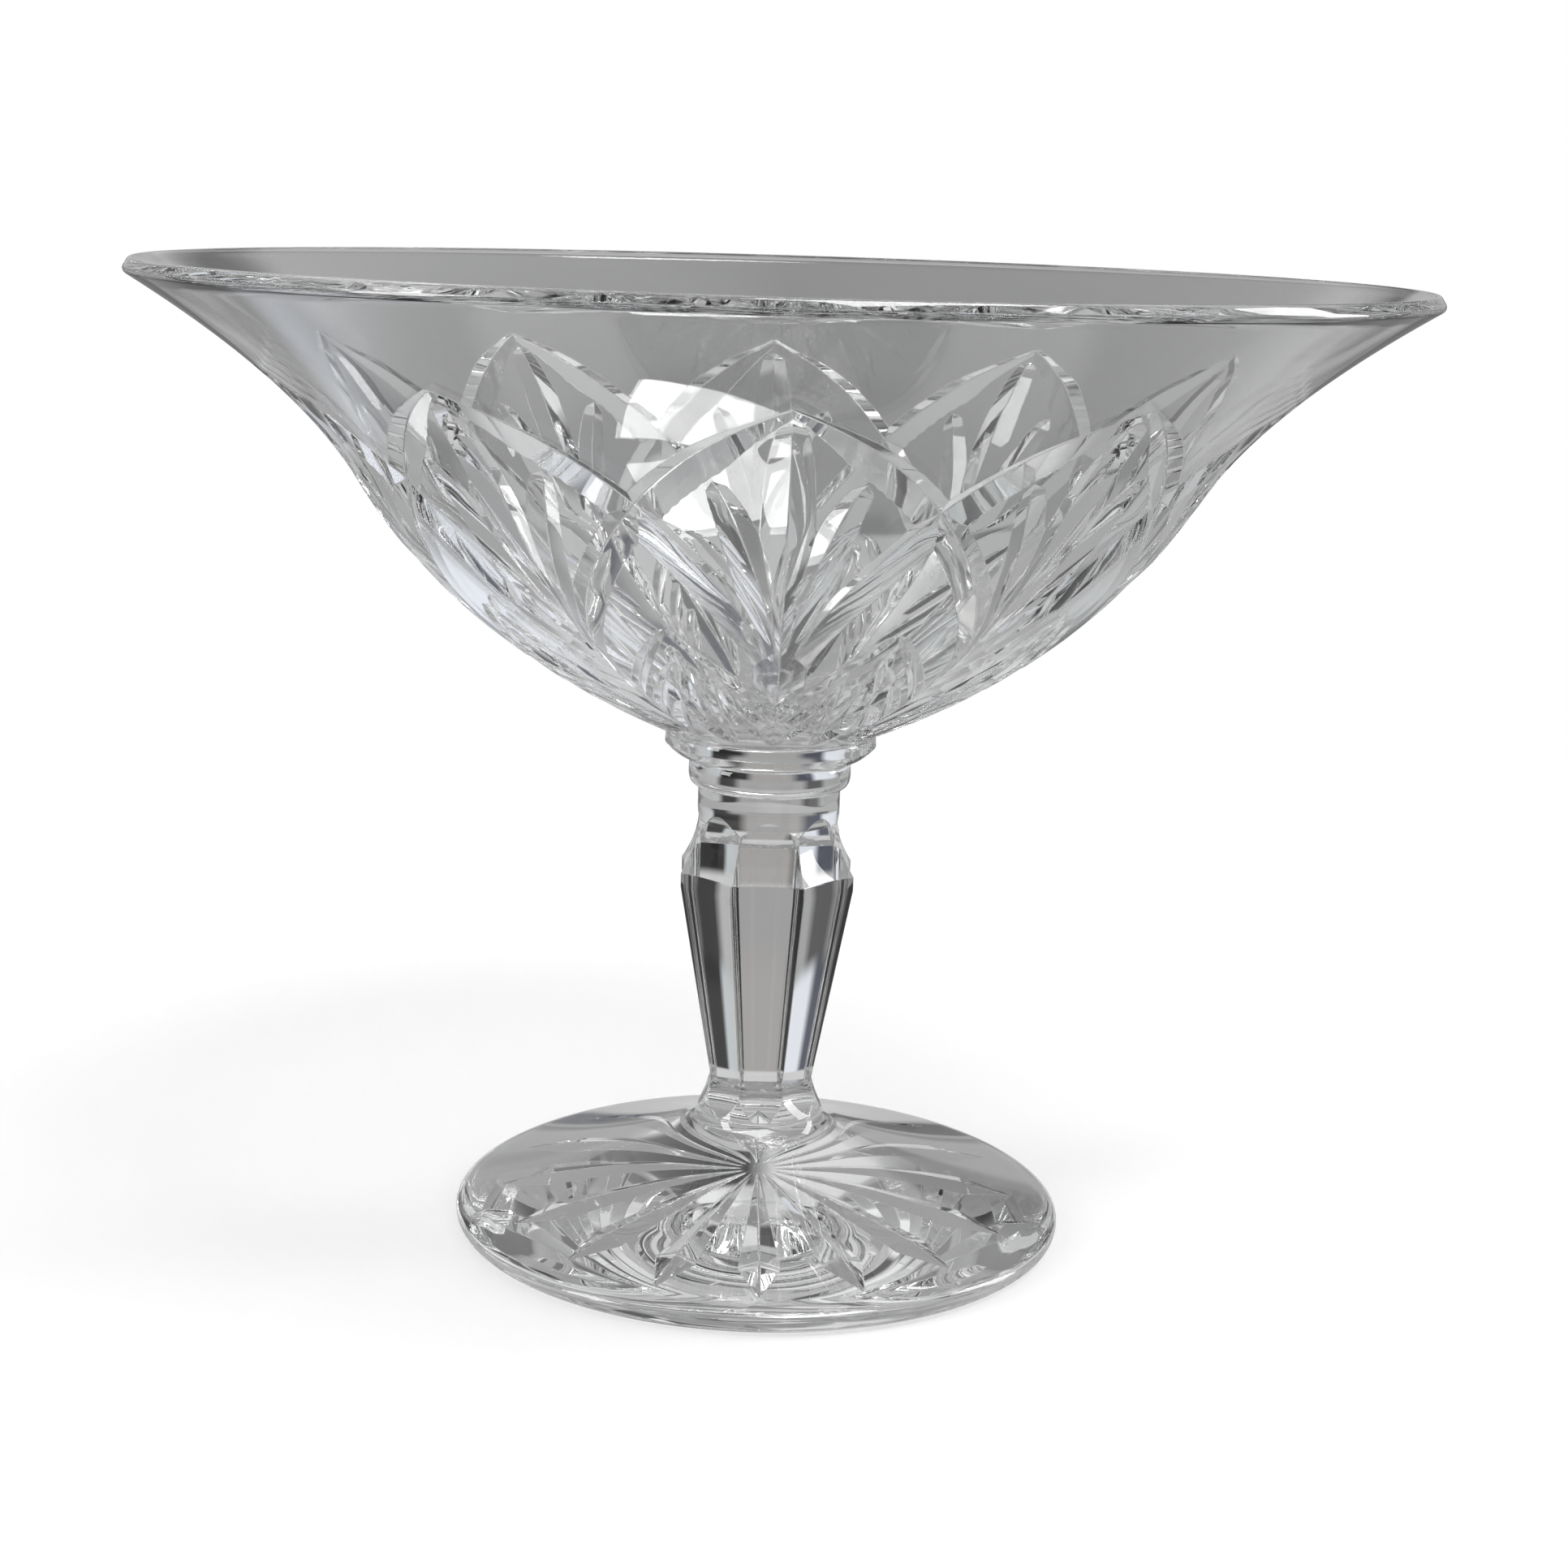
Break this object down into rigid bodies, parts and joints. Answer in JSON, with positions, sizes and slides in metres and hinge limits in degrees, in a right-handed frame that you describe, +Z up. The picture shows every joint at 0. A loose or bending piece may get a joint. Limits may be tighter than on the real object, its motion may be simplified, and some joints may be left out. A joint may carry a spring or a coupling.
{
  "type": "compote bowl",
  "caption": "Footed cut-glass compote with a wide flared bowl, mitre-cut arches and fans, a faceted stem and a star-cut foot.",
  "frame": {"origin": "centre of the foot's flat underside, on the axis of the bowl", "axes": "+Z up along the axis of the bowl, -Y towards the pictured front, where one cut arch is centred"},
  "size_m": [0.2, 0.2, 0.155],
  "materials": {
    "crystal": "clear polished lead crystal"
  },
  "bodies": {
    "root": {"foot": "crystal", "stem": "crystal", "lower_merese": "crystal", "upper_merese": "crystal", "bowl": "crystal"}
  },
  "joints": []
}
